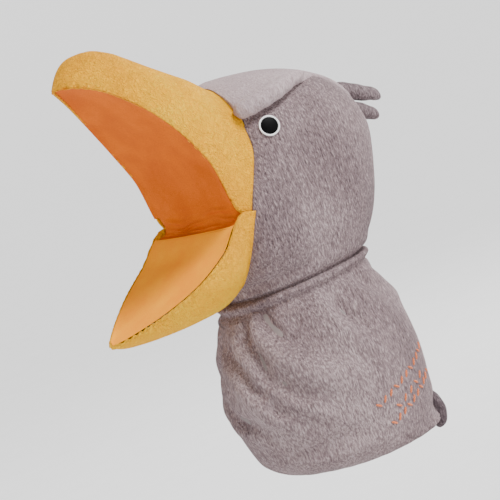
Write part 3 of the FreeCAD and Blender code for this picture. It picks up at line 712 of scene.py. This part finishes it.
def coverSkin(name, shape):
    obj = drape(name, shape["across"], shape["along"], lambda u, v: coverPoint(shape, u, v ** 0.95) / 1000)
    co = points(obj)
    u, v = gridUV(shape)
    edge = np.minimum(u, 1 - u) * 2
    # rolls in at the head's seam and at the rims, and puckers near the tip
    press = 0.3 * hump(v, 0.012) + 0.9 * hump(edge, 0.03) * np.clip(v / 0.12, 0, 1)
    pucker = np.sin(v * 150 + 3 * np.sin(v * 17)) * hump(edge, 0.06)
    press += shape["pucker"] * pucker * (0.25 + 0.75 * ramp(v, 0.62, 0.87))
    for fu, fv, gu, gv, width, depth in shape["folds"]:
        du, dv = (gu - fu), (gv - fv)
        t = np.clip(((u - fu) * du + (v - fv) * dv) / (du * du + dv * dv), 0, 1)
        away = np.hypot((u - fu - t * du) * 2.2, v - fv - t * dv)
        press += depth * hump(away, width) * np.sin(math.pi * np.clip(t, 0.08, 0.92))
    setPoints(obj, co - normals(obj) * (press / 1000)[:, None])
    tidyMesh(obj, 2e-5)
    thicken(obj, shape["cloth"])
    giveMaterial(obj, yellowPlush)


def gridUV(shape):
    # the grid's own order: across runs fastest
    u, v = np.meshgrid(np.linspace(0, 1, shape["across"] + 1), np.linspace(0, 1, shape["along"] + 1))
    return u.ravel(), v.ravel()


coverSkin("upperCover", upperBeak)
coverSkin("lowerCover", lowerBeak)

# what the two beak halves are stuffed with
beakStuffing = {"share": 0.8, "start": 0.18, "span": 0.58, "around": 96, "along": 90}


def stuffingPoint(shape, u, v):
    w = beakStuffing["start"] + beakStuffing["span"] * v
    over, under = np.clip(u * 2, 0, 1), np.clip(u * 2 - 1, 0, 1)[:, None]
    outer, rimLeft, rimRight, ridge = (coverPoint(shape, part, w) for part in (
        over, np.zeros_like(u), np.ones_like(u), np.full_like(u, 0.5)))
    edge = np.where((u <= 0.5)[:, None], outer, rimRight + (rimLeft - rimRight) * under)
    middle = (rimLeft + rimRight) / 4 + ridge / 2
    close = np.sqrt(np.clip(1 - np.clip((np.abs(2 * v - 1) - 0.88) / 0.12, 0, 1) ** 2, 1e-6, 1))
    return middle + (edge - middle) * (beakStuffing["share"] * close)[:, None]


for pieceName, shape in (("upperStuffing", upperBeak), ("lowerStuffing", lowerBeak)):
    wad = drape(pieceName, beakStuffing["around"], beakStuffing["along"],
                lambda u, v: stuffingPoint(shape, u, v) / 1000)
    tidyMesh(wad, 5e-5)
    giveMaterial(wad, stuffing)


def liningSheet(name, shape, velour):
    # velour from rim to rim, which sinks into the beak in its middle
    def placeAt(u, v):
        w = shape["liningFrom"] + (1 - shape["liningFrom"]) * v
        at = {key: through(shape["v"], shape[key], w) for key in ("rimAlong", "rimHigh", "wide")}
        half = np.maximum(at["wide"] - 0.6, 0.02)
        side = 2 * u - 1
        bowl = 1 - np.abs(side) ** 2.6
        deep = shape["up"] * shape["sag"] * bowl * np.clip(half / 30, 0, 1)
        roll = shape["up"] * 0.5 * (1 - hump((1 - np.abs(side)) * half, 3.0))
        creased = 0.25 * np.sin(w * 47 + 2.9 * side) * bowl * np.clip(1 - w * 2, 0, 1)
        ripple = 0.35 * np.sin(w * 21 + 1.7 * side) * bowl + creased
        return beakToRow(shape, side * half, at["rimAlong"], at["rimHigh"] + deep + roll + ripple * 0.6) / 1000
    obj = drape(name, 120, 130, placeAt)
    tidyMesh(obj, 2e-5)
    giveMaterial(obj, velour)


# the palate gets the velour's painted-shade tone, the jaw its painted-light tone
liningSheet("palateFace", upperBeak, shadedPalateVelour)
liningSheet("jawFace", lowerBeak, litJawVelour)

mouthFoldShape = {"back": -67.0, "half": 55.6, "cornerBack": 9.5, "cornerPower": 24,
                  "ridges": [(0.24, 0.07, 2.4), (0.46, 0.06, 2.8), (0.68, 0.06, 2.2), (0.86, 0.05, 1.2)]}


def foldPoint(u, v):
    # from the palate's first row, back round the hinge line, to the jaw lining's first row
    side = 2 * u - 1
    ends = []
    for shape in (upperBeak, lowerBeak):
        at = {key: through(shape["v"], shape[key], np.full_like(u, shape["foldFrom"]))
              for key in ("rimAlong", "rimHigh", "wide")}
        bowl = 1 - np.abs(side) ** 2.6
        high = at["rimHigh"] + shape["up"] * (shape["sag"] * bowl + 0.45)
        ends.append(beakToRow(shape, side * (at["wide"] - 0.6), at["rimAlong"], high))
    top, bottom = ends
    corner = mouthFoldShape["cornerBack"] * np.abs(side) ** mouthFoldShape["cornerPower"]
    back = np.column_stack([side * mouthFoldShape["half"], mouthFoldShape["back"] + corner,
                            hingeLine["z"] + 1.2 * np.sin(side * 4)])
    t = v[:, None]
    path = (1 - t) ** 2 * top + 2 * t * (1 - t) * (2 * back - (top + bottom) / 2) + t ** 2 * bottom
    forward = np.zeros_like(u)
    for place, width, height in mouthFoldShape["ridges"]:
        line = place + 0.05 * np.sin(side * 3.2 + place * 9) + 0.02 * np.sin(side * 11)
        uneven = 0.55 + 0.45 * np.sin(side * 5 + place * 20)
        forward += height * hump(v - line, width) * uneven * (1 - side ** 6)
    path[:, 1] -= forward * np.sin(math.pi * v) ** 0.5
    return path / 1000


mouthFold = drape("mouthFold", 120, 60, foldPoint)
tidyMesh(mouthFold, 2e-5)
# the fold takes the palate's painted-shade tone of the velour
giveMaterial(mouthFold, shadedPalateVelour)
print("beak covers and velour placed")

# crown, brows, eyes

crownShape = {"turns": 260, "rows": 90, "lift": 1.0, "side": 260.0, "back": 228.0, "cloth": 0.0014}


def rowOfHeight(z):
    v = np.linspace(0, 1, 800)
    return np.interp(z, alongProfile(headShape, v)["z"], v)


def crownPoint(u, v):
    a = 2 * math.pi * u
    turn = np.abs(np.degrees(np.angle(np.exp(1j * (a - math.pi / 2)))))
    down = 1 - ramp(turn, 16, 46)
    down = down * down * (3 - 2 * down)
    edge = crownShape["side"] - (crownShape["side"] - crownShape["back"]) * down
    start = rowOfHeight(edge)
    w = start + (1 - start) * v
    tuck = 1.4 * hump(v, 0.03)
    pucker = 0.25 * np.sin(a * 60) * hump(v, 0.08)
    puff = 1.2 * hump(v - 0.14, 0.13)
    return headPoint(a, w, crownShape["lift"] - tuck + pucker + puff)


crownSkin = drape("crownSkin", crownShape["turns"], crownShape["rows"],
                  lambda u, v: crownPoint(u, v) / 1000)
tidyMesh(crownSkin)
thicken(crownSkin, crownShape["cloth"])
# the crown's paler plush: partly its nap, partly painted light from above
giveMaterial(crownSkin, paleNapTopLitPlush)

browShape = {"path": [(44.5, -36.0, 258.6), (50.0, -28.5, 259.8), (54.2, -16, 261.6),
                      (54.2, -2, 263.2), (50.0, 12, 265.0), (44.5, 30, 265.6)],
             "thick": [5.0, 6.8, 7.0, 6.6, 5.8, 3.8], "hang": 1.15, "around": 40, "along": 110,
             "pad": {"voxel": 0.0013, "pressure": 4.0, "cap": 0.0012}}


def browPoint(u, v, side):
    path = np.array(browShape["path"])
    knots = np.linspace(0, 1, len(path))
    centre = np.column_stack([through(knots, path[:, k], v) for k in range(3)])
    ends = np.sin(np.clip(v * 14, 0, math.pi / 2))
    thick = through(knots, browShape["thick"], v) * ends * np.clip((1.0 - v) * 12, 0, 1) ** 0.5
    steps = np.linspace(0, 1, 50)
    ahead = np.gradient(np.column_stack([through(knots, path[:, k], steps) for k in range(3)]), axis=0)
    ahead = np.column_stack([np.interp(v, steps, ahead[:, k]) for k in range(3)])
    ahead /= np.linalg.norm(ahead, axis=1)[:, None]
    outward = np.cross(ahead, np.array([0, 0, 1.0]))
    outward /= np.linalg.norm(outward, axis=1)[:, None]
    upward = np.cross(outward, ahead)
    a = 2 * math.pi * u
    wobble = 1 + 0.035 * np.sin(v * 40 + a * 2) + 0.03 * np.sin(v * 73 + a * 3) + 0.02 * np.sin(v * 131 + a)
    droop = np.where(np.sin(a) < 0, browShape["hang"], 0.95)
    co = centre + outward * (np.cos(a) * thick * wobble)[:, None]
    co = co + upward * (np.sin(a) * thick * wobble * droop * 0.92)[:, None]
    co[:, 0] *= side
    return co


for sideName, side in (("left", 1), ("right", -1)):
    brow = drape("browRoll_" + sideName, browShape["around"], browShape["along"],
                 lambda u, v: browPoint(u, v, side) / 1000)
    tidyMesh(brow, 2e-5)
    swell(brow, browShape["pad"])
    # the brow rolls take the crown's paler plush: partly its nap, partly painted light from above
    giveMaterial(brow, paleNapTopLitPlush)

# eyes: a white ring with a flat black disc in it, sewn on the cheek

eyeShape = {"y": -20.0, "z": 242.2, "ring": 6.75, "band": 0.62, "disc": 6.5, "flat": 0.24,
            "ringOut": 0.0009, "discOut": 0.0004}


def cheekSpot(y, z, side):
    a = np.radians(np.linspace(-70, 40, 1200))
    co = headPoint(a, np.full_like(a, rowOfHeight(z)))
    k = int(np.argmin(np.abs(co[:, 1] - y)))
    low = headPoint(a, np.full_like(a, rowOfHeight(z - 3)))[k]
    high = headPoint(a, np.full_like(a, rowOfHeight(z + 3)))[k]
    outward = np.cross(co[k + 25] - co[k - 25], high - low)
    outward /= np.linalg.norm(outward)
    return Vector(co[k] * (side, 1, 1)) / 1000, Vector(outward * (side, 1, 1))


for sideName, side in (("left", 1), ("right", -1)):
    spot, outward = cheekSpot(eyeShape["y"], eyeShape["z"], side)
    turn = outward.to_track_quat("Z", "Y").to_euler()
    deselect()
    bpy.ops.mesh.primitive_torus_add(
        major_segments=96, minor_segments=20, major_radius=eyeShape["ring"] / 1000,
        minor_radius=eyeShape["band"] / 1000, location=spot + outward * eyeShape["ringOut"], rotation=turn)
    ringPiece = bpy.context.object
    ringPiece.name = "eyeRing_" + sideName
    bpy.ops.object.transform_apply(location=True, rotation=True, scale=True)
    giveMaterial(ringPiece, eyeWhite)
    deselect()
    bpy.ops.mesh.primitive_uv_sphere_add(
        segments=72, ring_count=36, radius=eyeShape["disc"] / 1000,
        location=spot + outward * eyeShape["discOut"], rotation=turn, scale=(1, 1, eyeShape["flat"]))
    disc = bpy.context.object
    disc.name = "eyeDisc_" + sideName
    bpy.ops.object.transform_apply(location=True, rotation=True, scale=True)
    giveMaterial(disc, eyeBlack)
    for obj in (ringPiece, disc):
        activate(obj)
        bpy.ops.object.shade_smooth()

# crest feathers and tail: stuffed tabs with a sewn edge

tabShapes = {
    "crestUpper": {"path": [(71, 243), (79.5, 240.5), (88, 237.2), (97, 232.6), (106.5, 228.4), (113.5, 222.6)],
                   "tall": [6.2, 6.3, 6.2, 5.8, 4.9, 3.0], "wide": [5.0, 6.2, 6.8, 6.2, 4.8, 2.6]},
    "crestLower": {"path": [(72, 230), (80, 227), (87, 223.6), (94, 219.4), (100.5, 215.2), (106, 210.6)],
                   "tall": [5.2, 5.6, 5.7, 5.5, 4.7, 3.0], "wide": [4.6, 5.6, 6.2, 5.8, 4.6, 2.6]},
    "tailTab": {"path": [(50, 18), (55, 11), (58.2, 4), (59.6, -3), (59.0, -9.5), (56.4, -16)],
                "tall": [4.2, 5.2, 5.8, 5.4, 4.4, 2.6], "wide": [7.5, 9.0, 9.8, 9.4, 7.8, 4.6]},
}
tabPad = {"voxel": 0.001, "pressure": 4.0, "cap": 0.0008}


def tabPoint(shape, u, v):
    path, knots = np.array(shape["path"], float), np.linspace(0, 1, len(shape["path"]))
    y, z = through(knots, path[:, 0], v), through(knots, path[:, 1], v)
    steps = np.linspace(0, 1, 60)
    dy, dz = (np.interp(v, steps, np.gradient(through(knots, path[:, k], steps))) for k in (0, 1))
    long = np.hypot(dy, dz)
    close = np.sqrt(np.clip(1 - np.clip((v - 0.86) / 0.14, 0, 1) ** 2, 0, 1)) * np.sqrt(np.clip(v / 0.02, 0, 1))
    a = 2 * math.pi * u
    seam = 1 - 0.13 * hump(np.abs(np.sin(a)), 0.07)
    tall = through(knots, shape["tall"], v) * close * (1 + 0.04 * np.sin(v * 23 + a))
    wide = through(knots, shape["wide"], v) * close * seam
    x = wide * roundCos(a, 2.3)
    h = tall * roundSin(a, 1.8)
    return np.column_stack([x, y - dz / long * h, z + dy / long * h])


for tabName, shape in tabShapes.items():
    tab = drape(tabName, 64, 80, lambda u, v: tabPoint(shape, u, v) / 1000)
    tidyMesh(tab, 2e-5)
    swell(tab, tabPad)
    giveMaterial(tab, darkPlush if tabName == "tailTab" else crestPlush)

# the stitched motif: three rising rows of plain slanting stitches

motifShape = {  # each row: turn and height of its start, turn and height of its end, and how many stitches
    "rows": [(-4, 36.5, 47, 56.5, 11), (9, 29.5, 34, 40.0, 5), (2, 19.5, 47, 38.0, 10)],
    "long": 2.8, "thick": 0.85, "slant": 62.0, "out": 0.00025,
}


def sleeveSpot(turn, z):
    v = np.linspace(0, 1, 500)
    row = float(np.interp(z, alongProfile(sleeveShape, v)["z"][40:], v[40:]))
    a = math.radians(turn)
    co = sleevePoint(np.array([a, a + 0.03, a - 0.03, a, a]),
                     np.array([row, row, row, row + 0.012, row - 0.012]))
    sideways, upwards = co[1] - co[2], co[3] - co[4]
    outward = np.cross(sideways, upwards)
    return (co[0], *(way / np.linalg.norm(way) for way in (sideways, upwards, outward)))


stitches = []
for a0, z0, a1, z1, count in motifShape["rows"]:
    for i in range(count):
        share = i / (count - 1)
        spot, sideways, upwards, outward = sleeveSpot(a0 + (a1 - a0) * share, z0 + (z1 - z0) * share)
        lean = math.radians(motifShape["slant"] * (1 if i % 3 else -0.55))
        along = sideways * math.cos(lean) + upwards * math.sin(lean)
        deselect()
        bpy.ops.mesh.primitive_uv_sphere_add(segments=16, ring_count=10, radius=0.001,
                                             location=spot / 1000 + outward * motifShape["out"])
        stitch = bpy.context.object
        stitch.scale = (motifShape["thick"], motifShape["thick"], motifShape["long"])
        stitch.rotation_euler = Matrix((np.cross(outward, along), outward, along)).transposed().to_euler()
        stitches.append(stitch)
deselect()
for stitch in stitches:
    stitch.select_set(True)
bpy.context.view_layer.objects.active = stitches[0]
bpy.ops.object.join()
motif = bpy.context.object
motif.name = "stitchRows"
bpy.ops.object.transform_apply(location=True, rotation=True, scale=True)
bpy.ops.object.shade_smooth()
giveMaterial(motif, motifThread)

# the gathered seam in the neck crease

neckSeamShape = {"z": 135.2, "wide": 46.6, "deep": 51.8, "middle": -13.0, "thick": 1.1, "pleats": 74}


def neckSeamPoint(u, v):
    a, b = 2 * math.pi * u, 2 * math.pi * v
    pleat = 1 + 0.35 * np.sin(a * neckSeamShape["pleats"] + 2 * np.sin(b))
    r = neckSeamShape["thick"] * pleat
    c, s = roundCos(a, 2.2), roundSin(a, 2.2)
    return np.column_stack([(neckSeamShape["wide"] + r * np.cos(b)) * c,
                            neckSeamShape["middle"] + (neckSeamShape["deep"] + r * np.cos(b)) * s,
                            neckSeamShape["z"] + r * np.sin(b)])


neckSeam = drape("neckSeam", 900, 12, lambda u, v: neckSeamPoint(u, v) / 1000)
tidyMesh(neckSeam)
giveMaterial(neckSeam, greyPlush)
print("eyes, tabs, stitches and neck seam placed")

# what each piece moves with

objects = bpy.data.objects
seatings = {
    "crownSkin": "head", "upperCover": "head", "palateFace": "head", "browRoll_left": "head",
    "browRoll_right": "head", "jawFace": "jaw", "eyeRing_left": "head", "eyeRing_right": "head",
    "eyeDisc_left": "head", "eyeDisc_right": "head", "crestUpper": "crest_upper",
    "crestLower": "crest_lower", "tailTab": "tail", "stitchRows": "sleeve", "neckSeam": "neck",
    "upperStuffing": "head", "lowerStuffing": "jaw",
}
for pieceName, body in seatings.items():
    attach(objects[pieceName], body)
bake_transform(objects["sleeveSkin"])
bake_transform(objects["sleeveLining"])
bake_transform(objects["headSkin"])
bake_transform(objects["lowerCover"])
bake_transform(objects["mouthFold"])
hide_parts("sleeve_left_panel", "sleeve_right_panel",
            "shoulder_left_panel", "shoulder_right_panel")
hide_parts("head_left_panel", "head_right_panel",
            "jowl_left_panel", "jowl_right_panel")
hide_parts("crown_panel")
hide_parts("upper_beak_cover")
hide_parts("lower_beak_cover")
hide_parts("palate_lining")
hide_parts("jaw_lining")
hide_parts("mouth_fold")
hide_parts("brow_left")
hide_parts("brow_right")
for sideName in ("left", "right"):
    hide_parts("eye_ring_" + sideName)
    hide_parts("pupil_" + sideName)
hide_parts("crest_upper_cover", "crest_upper_filling")
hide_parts("crest_lower_cover", "crest_lower_filling")
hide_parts("tail_cover", "tail_filling")
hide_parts("stitched_motif")
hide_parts("neck_seam_cord")
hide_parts("sleeve_lining")
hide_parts("upper_beak_filling")
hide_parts("lower_beak_filling")

# the inner pieces that stay as they are get their own cloths
inner = {
    "head_filling": stuffing, "palate_board": boardCard, "jaw_board": boardCard, "hand_lining": liningCloth,
    "finger_pocket": liningCloth, "thumb_pocket": liningCloth, "hem_facing": liningCloth,
    "neck_seam_tape": seamTape,
}
for node, material in inner.items():
    giveMaterial(frame["nodes"][node], material)
